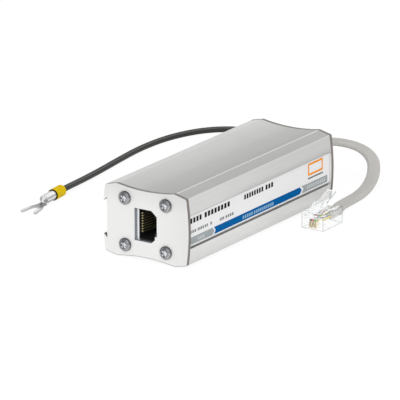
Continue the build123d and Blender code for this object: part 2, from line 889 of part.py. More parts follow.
with BuildPart() as cord_grommet:
    for start, thickness, share in grommet_layers:
        with BuildSketch(section_plane(start)):
            with Locations((cord_exit_x, cord_exit_rise)):
                lip = 2 * share * grommet_lip
                SlotOverall(grommet_neck_width + lip, grommet_neck_height + lip)
                RectangleRounded(
                    cord_width + 2 * cord_slip,
                    cord_thickness + 2 * cord_slip,
                    cord_thickness * cord_edge_share + cord_slip,
                    mode=Mode.SUBTRACT,
                )
        extrude(amount=-thickness)
cord_grommet.part.label = "cord_grommet"
export_step(cord_grommet.part, "parts/cord_grommet.step")

with BuildPart() as lead_grommet:
    for start, thickness, share in grommet_layers:
        with BuildSketch(section_plane(start)):
            with Locations((lead_exit_x, lead_exit_z - middle_z)):
                Circle(lead_neck_radius + share * lead_grommet_lip)
                Circle(lead_diameter / 2 + cord_slip, mode=Mode.SUBTRACT)
        extrude(amount=-thickness)
lead_grommet.part.label = "lead_grommet"
export_step(lead_grommet.part, "parts/lead_grommet.step")


def core_offsets():
    """Sideways places of the cord's cores from its middle."""
    return [core_pitch * (step - (core_count - 1) / 2) for step in range(core_count)]


# Cores of the phone cord inside the box, from the cord's cut end to their pads
with BuildPart() as board_cores:
    for step, (y, height) in enumerate(core_places()):
        core_x = cord_exit_x + core_offsets()[step]
        with BuildLine() as core_path:
            FilletPolyline(
                (core_x, cord_inner_y, cord_exit_z),
                (core_x, cord_inner_y - core_straight, cord_exit_z),
                (core_x, y, middle_z + height),
                (tail_x, y, middle_z + height),
                radius=core_bend,
            )
        with BuildSketch(Plane(origin=core_path.line @ 0, z_dir=core_path.line % 0)):
            Circle(core_diameter / 2)
        sweep(path=core_path.line)
board_cores.part.label = "board_cores"
export_step(board_cores.part, "parts/board_cores.step")

# Bared strands of the earth lead inside the box, down to the board's earth pad
board_strands_route = [
    (lead_exit_x, cord_inner_y, lead_exit_z),
    (lead_exit_x, cord_inner_y - strand_straight, lead_exit_z),
    (strand_turn_x, core_row_y, middle_z + strand_pad_z),
    (tail_x, core_row_y, middle_z + strand_pad_z),
]
with BuildPart() as board_strands:
    with BuildLine() as strand_path:
        FilletPolyline(*board_strands_route, radius=strand_bend)
    with BuildSketch(Plane(origin=strand_path.line @ 0, z_dir=strand_path.line % 0)):
        Circle(strand_diameter / 2)
    sweep(path=strand_path.line)
board_strands.part.label = "board_strands"
export_step(board_strands.part, "parts/board_strands.step")

# Label: a strip on the floor of the labelled side's channel, narrower than its mouth
with BuildPart() as side_label:
    with BuildSketch(Plane(origin=(channel_floor_x, 0, middle_z), x_dir=(0, 1, 0), z_dir=(1, 0, 0))):
        Rectangle(body_length - 2 * label_end_gap, channel_mouth - 2 * label_margin)
    extrude(amount=label_thickness)
side_label.part.label = "side_label"
export_step(side_label.part, "parts/side_label.step")

# Plug body: a clear moulding, open behind for the cord and slotted in front for the contacts;
# a channel for the latch runs along its top between two rails, and its nose is lower
plug_rear_y = plug_nose_y + plug_length
blade_slot_length = blade_depth + blade_slot_play
tunnel_y = plug_nose_y + core_tunnel_start
tunnel_length = plug_length - cord_entry - core_tunnel_start


def plug_section(y):
    """Plane across the plug at y, with its centre on the cord's axis; extrusion runs to +Y."""
    return Plane(origin=(plug_x, y, plug_core_z), x_dir=(-1, 0, 0), z_dir=(0, 1, 0))


with BuildPart() as plug_body:
    with BuildSketch(Plane.XY):
        with Locations((plug_x, plug_nose_y + plug_length / 2)):
            Rectangle(plug_width, plug_length)
    extrude(amount=plug_height)
    with BuildSketch(plug_section(plug_rear_y)):
        Rectangle(cord_width + 4 * cord_slip, cord_thickness + 4 * cord_slip)
    extrude(amount=-cord_entry - cord_slip, mode=Mode.SUBTRACT)
    with BuildSketch(plug_section(tunnel_y)):
        Rectangle(core_pitch * core_count, core_diameter + 2 * cord_slip)
    extrude(amount=tunnel_length, mode=Mode.SUBTRACT)
    with BuildSketch(Plane.XY):
        for offset_x in core_offsets():
            with Locations((plug_x + offset_x, plug_nose_y + blade_slot_length / 2)):
                Rectangle(blade_thickness + 2 * blade_fit, blade_slot_length)
    extrude(amount=plug_core_z, mode=Mode.SUBTRACT)
    with BuildSketch(Plane.XY.offset(plug_height)):
        with Locations((plug_x, plug_nose_y + plug_length / 2)):
            Rectangle(latch_recess_width, plug_length)
        with Locations((plug_x, plug_nose_y + nose_step_length / 2)):
            Rectangle(plug_width, nose_step_length)
    extrude(amount=-latch_recess_depth, mode=Mode.SUBTRACT)
    with BuildSketch(Plane.XY.offset(plug_height)):
        with Locations((plug_x, plug_rear_y - tie_from_rear)):
            Rectangle(tie_width, tie_length)
    extrude(amount=-tie_depth, taper=tie_taper, mode=Mode.SUBTRACT)
plug_body.part.label = "plug_body"
export_step(plug_body.part, "parts/plug_body.step")

# Plug contacts: four flat blades in the nose's slots, their tops against the cores
with BuildPart() as plug_contacts:
    blade_top = plug_core_z - core_diameter / 2
    with BuildSketch(Plane.XY.offset(blade_top - blade_height)):
        for offset_x in core_offsets():
            with Locations((plug_x + offset_x, plug_nose_y + blade_inset + blade_depth / 2)):
                Rectangle(blade_thickness, blade_depth)
    extrude(amount=blade_height)
plug_contacts.part.label = "plug_contacts"
export_step(plug_contacts.part, "parts/plug_contacts.step")

# Cores inside the plug, one of each colour, from the cord's cut end to the contacts
for colour, offset_x in zip(("black", "red", "green", "yellow"), core_offsets()):
    with BuildPart() as plug_core:
        with BuildSketch(plug_section(tunnel_y + cord_slip)):
            with Locations((-offset_x, 0)):
                Circle(core_diameter / 2)
        extrude(amount=tunnel_length - cord_slip)
    plug_core.part.label = f"plug_core_{colour}"
    export_step(plug_core.part, f"parts/plug_core_{colour}.step")

# Latch: rises from its root at the nose to the finger tab over the cord
latch_root_radius = latch_thickness / 2
latch_pivot = (
    plug_x,
    plug_nose_y + latch_root_y,
    plug_height - latch_recess_depth + latch_root_gap + latch_root_radius,
)
latch_plane = Plane(
    origin=latch_pivot,
    x_dir=(0, cos(radians(latch_angle)), sin(radians(latch_angle))),
    z_dir=(0, -sin(radians(latch_angle)), cos(radians(latch_angle))),
)

with BuildPart() as plug_latch:
    with BuildSketch(latch_plane.offset(-latch_thickness / 2)) as latch_outline:
        with BuildLine():
            Polyline(
                (0, latch_width / 2),
                (latch_neck, latch_width / 2),
                (latch_neck, latch_shoulder_width / 2),
                (latch_shoulder_start, latch_shoulder_width / 2),
                (latch_tab_start, latch_tab_width / 2),
                (latch_length, latch_tab_width / 2),
                (latch_length, -latch_tab_width / 2),
                (latch_tab_start, -latch_tab_width / 2),
                (latch_shoulder_start, -latch_shoulder_width / 2),
                (latch_neck, -latch_shoulder_width / 2),
                (latch_neck, -latch_width / 2),
                (0, -latch_width / 2),
                close=True,
            )
        make_face()
    extrude(amount=latch_thickness)
    with BuildSketch(Plane(origin=latch_pivot, x_dir=(0, 1, 0), z_dir=(1, 0, 0))):
        Circle(latch_root_radius)
    extrude(amount=latch_width / 2, both=True)
plug_latch.part.label = "plug_latch"
export_step(plug_latch.part, "parts/plug_latch.step")
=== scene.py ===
"""Dressed scene of the telephone surge protector: materials, cord jackets, label print, room,
lamps and camera.

Everything is in metres, in the frame of the solids: +X is the labelled side, -Y the front
with the jack and +Z up.
"""

from math import cos, pi, radians, sin, tan

import bmesh
import bpy
from mathutils import Matrix, Vector


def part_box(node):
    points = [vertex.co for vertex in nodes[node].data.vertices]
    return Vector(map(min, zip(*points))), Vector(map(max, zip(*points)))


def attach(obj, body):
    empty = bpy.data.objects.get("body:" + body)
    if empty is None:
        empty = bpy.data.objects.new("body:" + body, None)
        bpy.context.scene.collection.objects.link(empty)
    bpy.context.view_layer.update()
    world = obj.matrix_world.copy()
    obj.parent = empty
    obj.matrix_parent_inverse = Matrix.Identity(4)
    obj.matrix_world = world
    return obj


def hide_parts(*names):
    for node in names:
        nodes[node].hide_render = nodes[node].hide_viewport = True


MM = 0.001

# Box, as in the part's source: its axis lies MIDDLE above the floor. The troughs of its top and
# bottom are TROUGH_RISE from the axis in the middle and end in the ridges at RIDGE_X; the facets
# slope from there to CORNER_X
MIDDLE = 14.1 * MM
RIDGE_X = 12.9 * MM
CORNER_X = 18.2 * MM
TROUGH_DEPTH = 1.15 * MM
TROUGH_RISE = 12.95 * MM
FACET_SLOPE = 1.25 / 5.3
SCREW_OFFSET = 9.15 * MM

# Terminal, as in the part's source: the fork's tip, the direction from there to the lead, and
# the height of the axis. A prong's middle line lies PRONG_MIDDLE beside the terminal's at the
# tip and closes in on it at FORK_FLARE up to PRONG_END; SLEEVE_MOUTH is as far from the tip as
# the sleeve's front, and the rolled barrel starts at BARREL_Y
TERMINAL_TIP = (-70.1 * MM, -27.4 * MM)
TERMINAL_TURN = radians(96.1)
TERMINAL_AXIS = 2.3 * MM
FORK_FLARE = radians(7)
PRONG_MIDDLE = 2.91 * MM
PRONG_END = 5 * MM
SLEEVE_MOUTH = 20.6 * MM
BARREL_Y = -15 * MM

# Photograph's camera, in metres and in pixels of a square frame
FRAME_PIXELS = 400
FOCAL_PIXELS = 5022.77
CAMERA_AZIMUTH = radians(34.0536)
CAMERA_ELEVATION = radians(17.6342)
CAMERA_ROLL = radians(-0.2681)
CAMERA_DISTANCE = 1.90475
CAMERA_RIGHT = -0.007697
CAMERA_UP = 0.010114

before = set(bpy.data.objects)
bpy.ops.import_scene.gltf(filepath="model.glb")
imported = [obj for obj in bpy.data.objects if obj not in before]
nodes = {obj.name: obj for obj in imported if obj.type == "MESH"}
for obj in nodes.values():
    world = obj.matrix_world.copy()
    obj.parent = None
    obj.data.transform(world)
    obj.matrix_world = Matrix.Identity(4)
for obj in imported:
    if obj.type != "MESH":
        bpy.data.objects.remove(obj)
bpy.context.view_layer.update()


def placed(name, data):
    """An object with this data, linked to the scene."""
    made = bpy.data.objects.new(name, data)
    bpy.context.scene.collection.objects.link(made)
    return made


# Materials


class Shader:
    """A material and short ways to wire its nodes."""

    def __init__(self, name):
        self.material = bpy.data.materials.new(name)
        self.material.use_nodes = True
        self.tree = self.material.node_tree
        self.bsdf = self.tree.nodes["Principled BSDF"]

    def set(self, **sockets):
        """Constants of the shader, by socket name with spaces written as underscores."""
        for key, value in sockets.items():
            self.bsdf.inputs[key.replace("_", " ")].default_value = value
        return self

    def node(self, kind, **settings):
        """A new node with its attributes set."""
        made = self.tree.nodes.new(kind)
        for key, value in settings.items():
            setattr(made, key, value)
        return made

    def link(self, source, target):
        self.tree.links.new(source, target)

    def coordinates(self, scale=(1, 1, 1), output="Object"):
        """Coordinates of the piece, stretched by scale."""
        source = self.node("ShaderNodeTexCoord")
        mapping = self.node("ShaderNodeMapping")
        mapping.inputs["Scale"].default_value = scale
        self.link(source.outputs[output], mapping.inputs["Vector"])
        return mapping.outputs["Vector"]

    def noise(self, vector, scale, detail):
        made = self.node("ShaderNodeTexNoise")
        made.inputs["Scale"].default_value = scale
        made.inputs["Detail"].default_value = detail
        self.link(vector, made.inputs["Vector"])
        return made.outputs["Fac"]

    def ramp(self, value, low, high, start=0.3, end=0.7):
        """Two colours or greys blended over a stretch of value."""
        made = self.node("ShaderNodeValToRGB")
        made.color_ramp.elements[0].position = start
        made.color_ramp.elements[1].position = end
        made.color_ramp.elements[0].color = colour4(low)
        made.color_ramp.elements[1].color = colour4(high)
        self.link(value, made.inputs["Fac"])
        return made.outputs["Color"]

    def mix(self, factor, first, second, kind="MIX"):
        """Blend of two colours; each may be a socket or a colour."""
        made = self.node("ShaderNodeMix", data_type="RGBA", blend_type=kind)
        for slot, value in ((0, factor), (6, first), (7, second)):
            if hasattr(value, "is_output"):
                self.link(value, made.inputs[slot])
            elif slot == 0:
                made.inputs[slot].default_value = value
            else:
                made.inputs[slot].default_value = colour4(value)
        return made.outputs[2]

    def math(self, kind, first, second=None):
        made = self.node("ShaderNodeMath", operation=kind)
        for slot, value in ((0, first), (1, second)):
            if value is None:
                continue
            if hasattr(value, "is_output"):
                self.link(value, made.inputs[slot])
            else:
                made.inputs[slot].default_value = value
        return made.outputs[0]

    def axes(self, output="Object"):
        """X, Y and Z of the place on the piece, in metres, or of its normal."""
        source = self.node("ShaderNodeTexCoord")
        parts = self.node("ShaderNodeSeparateXYZ")
        self.link(source.outputs[output], parts.inputs[0])
        return parts.outputs["X"], parts.outputs["Y"], parts.outputs["Z"]

    def length(self, first, second):
        """Length of a pair of distances at right angles."""
        squares = [self.math("MULTIPLY", part, part) for part in (first, second)]
        return self.math("SQRT", self.math("ADD", *squares))

    def step(self, value, start, end):
        """0 before start, 1 after end (or the other way round) and a blend between."""
        made = self.node("ShaderNodeMapRange")
        made.inputs["From Min"].default_value = start
        made.inputs["From Max"].default_value = end
        self.link(value, made.inputs["Value"])
        return made.outputs["Result"]

    def both(self, *masks):
        """Where all masks are 1."""
        result = masks[0]
        for mask in masks[1:]:
            result = self.math("MULTIPLY", result, mask)
        return result

    def shade(self, colour, mask, factor):
        """The colour, multiplied by factor where the mask is 1."""
        return self.mix(mask, colour, self.mix(1.0, colour, factor, "MULTIPLY"))

    def colour(self, socket):
        self.link(socket, self.bsdf.inputs["Base Color"])

    def rough(self, socket):
        self.link(socket, self.bsdf.inputs["Roughness"])

    def surface(self, factor, first, second):
        """The material's surface as a blend of two shaders."""
        blend = self.node("ShaderNodeMixShader")
        for slot, source in enumerate((factor, first, second)):
            self.link(source, blend.inputs[slot])
        self.link(blend.outputs[0], self.tree.nodes["Material Output"].inputs["Surface"])

    def bump(self, height, distance, strength):
        """Relief of a height between 0 and 1 that stands distance metres high."""
        made = self.node("ShaderNodeBump")
        made.inputs["Strength"].default_value = strength
        made.inputs["Distance"].default_value = distance
        self.link(height, made.inputs["Height"])
        self.link(made.outputs["Normal"], self.bsdf.inputs["Normal"])


def colour4(value):
    """A colour with alpha from a grey or three numbers."""
    if isinstance(value, (int, float)):
        return (value, value, value, 1)
    return (*value, 1)


def scaled(colour, factor):
    """The colour, lighter or darker by a factor."""
    return tuple(part * factor for part in colour)


def facet_height(s, out):
    """Height of the sloping facets over the box's axis, at out from its middle plane."""
    fall = s.math("MULTIPLY", s.math("SUBTRACT", out, RIDGE_X), FACET_SLOPE)
    return s.math("SUBTRACT", MIDDLE, fall)


def extruded_metal(name, base, metallic, roughness):
    """Satin anodised aluminium with the fine lengthwise lines of an extrusion, shaded as the
    photograph has it in the troughs, on the facets and their grooves, on the labelled side and
    in its channel."""
    s = Shader(name).set(Metallic=metallic)
    fine = s.noise(s.coordinates((1, 0.012, 1)), 3800, 2)
    broad = s.noise(s.coordinates((1, 0.02, 1)), 420, 3)
    cloud = s.noise(s.coordinates(), 35, 2)
    dark = scaled(base, 0.95)
    light = tuple(min(1, c * 1.04) for c in base)
    lines = s.ramp(broad, dark, light, 0.35, 0.65)
    tinted = s.mix(0.5, lines, s.ramp(cloud, dark, light))
    x, y, z = s.axes()
    out = s.math("ABSOLUTE", x)
    high = s.math("ABSOLUTE", s.math("SUBTRACT", z, MIDDLE))

    # Troughs: darker towards the labelled side and the front
    trough = s.both(s.step(out, RIDGE_X, 12.6 * MM), s.step(high, 12.6 * MM, 12.8 * MM))
    tinted = s.shade(tinted, trough, 0.94)
    tinted = s.shade(tinted, s.both(trough, s.step(x, -12 * MM, -1 * MM)), 0.87)
    tinted = s.shade(tinted, s.both(trough, s.step(x, -6 * MM, 13 * MM)), 0.72)
    tinted = s.shade(tinted, s.both(trough, s.step(y, -18 * MM, -48 * MM)), 0.93)

    # Facets: darker on the labelled side, and dark between their serrations
    facet = s.both(
        s.step(out, 13.0 * MM, 13.2 * MM),
        s.step(out, 18.1 * MM, 17.9 * MM),
        s.step(high, 12.4 * MM, 12.6 * MM),
    )
    tinted = s.shade(tinted, s.both(facet, s.step(x, 0, MM)), 0.9)
    tinted = s.shade(tinted, s.both(facet, s.step(x, 0, -MM)), 1.12)
    depth = s.math("SUBTRACT", facet_height(s, out), high)
    tinted = s.shade(tinted, s.both(facet, s.step(depth, 0.06 * MM, 0.22 * MM)), 0.62)

    # Painted highlight along the ridges of the labelled side
    ridge = s.both(
        s.step(x, 12.7 * MM, 12.75 * MM),
        s.step(x, 13.1 * MM, 13.0 * MM),
        s.step(high, 13.5 * MM, 13.6 * MM),
    )
    tinted = s.mix(ridge, tinted, 0.78)

    # Labelled side: darker to the rear above the label, lighter below it, dark in its channel
    side = s.step(x, CORNER_X - 0.05 * MM, CORNER_X + 0.05 * MM)
    upper = s.both(side, s.step(z, 20.2 * MM, 20.4 * MM))
    tinted = s.shade(tinted, s.both(upper, s.step(y, -25 * MM, 48 * MM)), 0.85)
    over_label = s.both(upper, s.step(z, 22.6 * MM, 21.4 * MM), s.step(y, -30 * MM, -8 * MM))
    tinted = s.shade(tinted, over_label, 0.9)
    lower = s.both(side, s.step(z, 1.5 * MM, 5.5 * MM), s.step(z, 10 * MM, 9 * MM))
    tinted = s.shade(tinted, lower, 1.13)
    channel = s.both(
        s.step(x, 17.1 * MM, 17.2 * MM),
        s.step(x, 18.6 * MM, 18.5 * MM),
        s.step(high, 8.3 * MM, 8.2 * MM),
    )
    tinted = s.shade(tinted, channel, 0.7)

    s.colour(tinted)
    s.rough(s.ramp(fine, roughness - 0.05, roughness + 0.07))
    s.bump(s.math("ADD", fine, broad), 0.00001, 0.6)
    return s.material


def plate_metal(name, face, edge, cut):
    """Satin plate with painted shade towards its top and its labelled side and a thin painted
    shade along its foot: its sheared outer edge is dark and the edge of its opening blue grey."""
    s = Shader(name).set(Metallic=0.25)
    facing = s.math("ABSOLUTE", s.axes("Normal")[1])
    grain = s.noise(s.coordinates((1, 0.3, 0.06)), 1500, 3)
    cloud = s.noise(s.coordinates(), 60, 2)
    brushed = s.ramp(grain, scaled(face, 0.97), face)
    clouded = s.ramp(cloud, scaled(face, 0.98), face)
    faces = s.mix(0.5, brushed, clouded)
    edges = s.ramp(s.noise(s.coordinates((1, 6, 1)), 300, 2), scaled(edge, 0.8), edge)
    x, _, z = s.axes()
    out = s.math("ABSOLUTE", x)
    high = s.math("ABSOLUTE", s.math("SUBTRACT", z, MIDDLE))
    # Painted shade towards the top and towards the labelled side
    faces = s.shade(faces, s.step(z, 21 * MM, 27 * MM), 0.9)
    faces = s.shade(faces, s.step(x, 5 * MM, 19 * MM), 0.93)
    # Painted shade in a thin line along the foot of the outline
    bend = s.math("MULTIPLY", s.math("MULTIPLY", x, x), TROUGH_DEPTH / RIDGE_X ** 2)
    outline = s.math("MINIMUM", s.math("ADD", TROUGH_RISE, bend), facet_height(s, out))
    depth = s.math("SUBTRACT", outline, high)
    rim = s.both(s.step(depth, 0.4 * MM, 0.2 * MM), s.step(z, MIDDLE, 0.8 * MIDDLE))
    faces = s.shade(faces, rim, 0.6)
    opening = s.both(s.step(out, 6.5 * MM, 6.4 * MM), s.step(high, 8 * MM, 7.9 * MM))
    edges = s.mix(opening, edges, cut)
    side = s.ramp(facing, 0.0, 1.0, 0.45, 0.75)
    s.colour(s.mix(side, edges, faces))
    s.rough(s.ramp(grain, 0.42, 0.52))
    s.bump(grain, 0.000008, 0.5)
    return s.material


def bright_metal(name, base):
    """Tin plate with faint blotches and scuffs."""
    s = Shader(name).set(Metallic=1.0)
    spots = s.noise(s.coordinates(), 500, 4)
    s.colour(s.ramp(spots, scaled(base, 0.9), base, 0.3, 0.65))
    s.rough(s.ramp(s.noise(s.coordinates(), 1250, 2), 0.16, 0.28))
    s.bump(spots, 0.00001, 0.4)
    return s.material


def screw_metal(name):
    """Zinc-plated pan heads with painted light and shade: a painted dark rim, a grey dome with
    painted shade at the top and at the lower left, and a painted highlight in the middle with a
    painted dark ring."""
    s = Shader(name).set(Metallic=0.85)
    x, _, z = s.axes()
    across, up = (
        s.math("SUBTRACT", place, s.math("MULTIPLY", s.math("SIGN", place), SCREW_OFFSET))
        for place in (x, s.math("SUBTRACT", z, MIDDLE))
    )
    corner = s.math("MULTIPLY", s.math("ADD", up, across), 0.7)
    radius = s.length(across, up)
    spots = s.noise(s.coordinates(), 900, 4)
    dome = s.ramp(spots, (0.34, 0.35, 0.37), (0.47, 0.48, 0.5), 0.3, 0.65)
    # Painted highlight in the middle of the head
    middle = s.ramp(spots, (0.7, 0.71, 0.74), (0.86, 0.87, 0.9), 0.3, 0.65)
    # Painted shade: a dark ring round the middle, the dome darker at the top, the upper right and
    # the lower left, and a dark rim
    ring = s.both(s.step(radius, 1.15 * MM, 1.3 * MM), s.step(radius, 1.75 * MM, 1.5 * MM))
    tint = s.mix(s.step(radius, 1.3 * MM, 1.1 * MM), dome, middle)
    tint = s.shade(tint, ring, 0.6)
    outer = s.step(radius, 0.8 * MM, 1.3 * MM)
    tint = s.shade(tint, s.both(outer, s.step(up, 0, 0.8 * MM)), 0.55)
    top_right = s.both(
        outer, s.step(corner, 0.2 * MM, 0.9 * MM), s.step(up, 0.2 * MM, 0.9 * MM)
    )
    tint = s.shade(tint, top_right, 0.6)
    tint = s.shade(tint, s.both(outer, s.step(corner, -0.5 * MM, -1.0 * MM)), 0.75)
    tint = s.shade(tint, s.step(radius, 2.2 * MM, 2.5 * MM), 0.5)
    s.colour(tint)
    s.rough(s.ramp(s.noise(s.coordinates(), 2200, 2), 0.28, 0.4))
    s.bump(spots, 0.00001, 0.4)
    return s.material


def shield_metal(name):
    """Tinned sheet, blue grey, with a painted highlight on its folded lip beside the socket."""
    s = Shader(name).set(Metallic=0.15)
    x = s.axes()[0]
    spots = s.noise(s.coordinates(), 900, 4)
    sheet = s.ramp(spots, (0.3, 0.33, 0.36), (0.36, 0.39, 0.42), 0.3, 0.65)
    # Painted highlight on the folded lip beside the socket
    s.colour(s.mix(s.step(x, -4.75 * MM, -4.7 * MM), sheet, 0.97))
    s.rough(s.ramp(spots, 0.3, 0.42))
    s.bump(spots, 0.00001, 0.4)
    return s.material


def contact_metal(name, base, metallic, wires_from=None):
    """Gold flash on the contacts: the jack's are bright at their ends, and the wires behind, past
    the x of wires_from, darkened by painted shade."""
    s = Shader(name).set(Metallic=metallic)
    x = s.axes()[0]
    spots = s.noise(s.coordinates(), 1800, 4)
    tint = s.ramp(spots, scaled(base, 0.9), base, 0.3, 0.65)
    # Painted shade on the wires behind, past the x of wires_from
    if wires_from is not None:
        tint = s.shade(tint, s.step(x, wires_from, wires_from + 0.3 * MM), 0.25)
    s.colour(tint)
    s.rough(s.ramp(spots, 0.3, 0.4))
    s.bump(spots, 0.00001, 0.4)
    return s.material


def terminal_frame(s, output="Object"):
    """Positions or directions along the terminal, from the fork's tip, and across it."""
    x, y, z = s.axes(output)
    if output == "Object":
        x = s.math("SUBTRACT", x, TERMINAL_TIP[0])
        y = s.math("SUBTRACT", y, TERMINAL_TIP[1])
    ahead, aside = cos(TERMINAL_TURN), sin(TERMINAL_TURN)
    along = s.math("ADD", s.math("MULTIPLY", x, ahead), s.math("MULTIPLY", y, aside))
    across = s.math("SUBTRACT", s.math("MULTIPLY", y, ahead), s.math("MULTIPLY", x, aside))
    return along, across, z


def terminal_metal(name):
    """Bright tin with painted light and shade: the flat faces of the fork are painted darker than
    the middle of its prongs, its upright faces darker and darkest along their foot, its neck
    darker, and the rolled barrel has a light mouth, a painted grey band along it, painted shade
    along its underside and a painted shadow at its end beside the sleeve."""
    s = Shader(name).set(Metallic=0.9)
    y, z = s.axes()[1:]
    along, across, _ = terminal_frame(s)
    up = s.axes("Normal")[2]
    level, upright = s.step(up, 0.6, 0.8), s.step(up, 0.6, 0.4)
    spots = s.noise(s.coordinates(), 700, 4)
    bright = s.ramp(spots, (0.78, 0.78, 0.79), (0.92, 0.92, 0.93), 0.3, 0.65)
    # Painted shade on the flat faces of the fork, all but the middle of its prongs
    flat = s.shade(bright, level, 0.3)
    flare = s.math("MULTIPLY", along, tan(FORK_FLARE))
    prong = s.math("ADD", s.math("ABSOLUTE", across), flare)
    off_middle = s.math("ABSOLUTE", s.math("SUBTRACT", prong, PRONG_MIDDLE))
    middle = s.both(
        s.step(off_middle, 0.45 * MM, 0.25 * MM), s.step(along, PRONG_END + 1.5 * MM, PRONG_END)
    )
    flat = s.mix(s.both(middle, level), flat, bright)
    # Painted shade on the upright faces, darkest along their foot, and on the neck before the
    # barrel
    flat = s.shade(flat, upright, 0.6)
    flat = s.shade(flat, s.both(upright, s.step(z, 0.35 * MM, 0.25 * MM)), 0.4)
    neck = s.step(y, BARREL_Y - 4.5 * MM, BARREL_Y - 2 * MM)
    flat = s.shade(flat, neck, 0.6)
    # Painted shade on the barrel: a grey band, its underside and its end beside the sleeve
    band = s.both(s.step(up, 0.05, 0.25), s.step(up, 0.6, 0.45))
    barrel = s.shade(bright, band, 0.5)
    barrel = s.shade(barrel, s.step(up, 0, -0.3), 0.35)
    barrel = s.shade(barrel, s.step(along, 18.5 * MM, 19 * MM), 0.35)
    s.colour(s.mix(s.step(y, BARREL_Y - 0.2 * MM, BARREL_Y), flat, barrel))
    s.rough(s.ramp(spots, 0.18, 0.3))
    s.bump(spots, 0.00001, 0.4)
    return s.material


def moulded(name, base, roughness, grain=0.94, scale=1500):
    """Moulded plastic with a faint grain."""
    s = Shader(name)
    speck = s.noise(s.coordinates(), scale, 3)
    cloud = s.noise(s.coordinates(), scale * 0.08, 2)
    low = scaled(base, grain)
    s.colour(s.mix(0.5, s.ramp(speck, low, base), s.ramp(cloud, low, base)))
    s.rough(s.ramp(speck, roughness - 0.04, roughness + 0.06))
    s.bump(speck, 0.00002, 0.3)
    return s.material


def sleeve_plastic(name, base):
    """Yellow sleeve of the terminal, with painted shade at and in its mouth."""
    s = Shader(name).set(Specular_IOR_Level=0.05)
    along, across, z = terminal_frame(s)
    radius = s.length(across, s.math("SUBTRACT", z, TERMINAL_AXIS))
    facing = terminal_frame(s, "Normal")[0]
    inner = s.math("MAXIMUM", s.step(radius, 2.24 * MM, 2.18 * MM), s.step(facing, -0.6, -0.8))
    mouth = s.both(inner, s.step(along, SLEEVE_MOUTH + 0.3 * MM, SLEEVE_MOUTH))
    speck = s.noise(s.coordinates(), 500, 3)
    cloud = s.noise(s.coordinates(), 40, 2)
    low = scaled(base, 0.9)
    tint = s.mix(0.5, s.ramp(speck, low, base), s.ramp(cloud, low, base))
    # Painted shade at and in the mouth
    s.colour(s.shade(tint, mouth, 0.22))
    s.rough(s.ramp(speck, 0.46, 0.56))
    s.bump(speck, 0.00002, 0.3)
    return s.material


def jacket(name, base, roughness, ribs=0, streak=0.93, top=1.0):
    """Cord jacket: faint streaks run along it, a round one has a painted highlight along its
    shoulders, lighter by the factor top, and painted shade along its top, and ribs of the cores
    show on a flat one."""
    s = Shader(name).set(Specular_IOR_Level=0.12)
    along = s.coordinates((0.03, 1, 1), "UV")
    streaks = s.noise(along, 900, 3)
    cloud = s.noise(s.coordinates(output="UV"), 60, 2)
    low = scaled(base, streak)
    tint = s.mix(0.5, s.ramp(streaks, low, base), s.ramp(cloud, low, base))
    if top != 1.0:
        up = s.axes("Normal")[2]
        # Painted highlight along the shoulders and painted shade along the very top
        shoulder = s.both(s.step(up, 0.55, 0.72), s.step(up, 0.93, 0.84))
        tint = s.shade(tint, shoulder, top)
        tint = s.shade(tint, s.step(up, 0.9, 0.96), 0.6)
    s.colour(tint)
    s.rough(s.ramp(streaks, roughness - 0.05, roughness + 0.06))
    height = streaks
    if ribs:
        wave = s.math("SINE", s.math("MULTIPLY", s.axes("UV")[1], 2 * pi / ribs))
        height = s.math("ADD", s.math("MULTIPLY", wave, 1.2), streaks)
    s.bump(height, 0.00002, 0.5)
    return s.material


def clear_plastic(name, clearness, node=None):
    """Clear moulded plastic, a little milky: lamps shine through it, faint flow marks bend what is
    behind, and the outer edges of a block, the node's, carry painted grey shade."""
    s = Shader(name).set(Transmission_Weight=clearness, IOR=1.12, Roughness=0.03)
    flow = s.noise(s.coordinates((1, 0.4, 1)), 260, 2)
    tint = s.ramp(flow, (0.95, 0.96, 0.96), (0.985, 0.99, 0.99))
    if node:
        near = []
        for place, low, high in zip(s.axes(), *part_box(node)):
            offset = s.math("ABSOLUTE", s.math("SUBTRACT", place, (low + high) / 2))
            half = (high - low) / 2
            near.append(s.step(offset, half - 0.35 * MM, half - 0.2 * MM))
        pairs = s.math("MAXIMUM", s.both(near[0], near[1]), s.both(near[1], near[2]))
        edges = s.math("MAXIMUM", pairs, s.both(near[0], near[2]))
        # Painted shade along the block's outer edges
        tint = s.shade(tint, edges, 0.42)
    s.colour(tint)
    s.bump(flow, 0.00004, 0.35)
    path = s.node("ShaderNodeLightPath")
    through = s.node("ShaderNodeBsdfTransparent")
    through.inputs["Color"].default_value = (0.93, 0.94, 0.94, 1)
    s.surface(path.outputs["Is Shadow Ray"], s.bsdf.outputs[0], through.outputs[0])
    return s.material


def label_paper(name, base, specular=0.1):
    """Satin label film with a faint tooth."""
    s = Shader(name).set(Specular_IOR_Level=specular)
    tooth = s.noise(s.coordinates(), 2500, 3)
    s.colour(s.ramp(tooth, scaled(base, 0.97), base))
    s.rough(s.ramp(tooth, 0.42, 0.5))
    s.bump(tooth, 0.000006, 0.4)
    return s.material


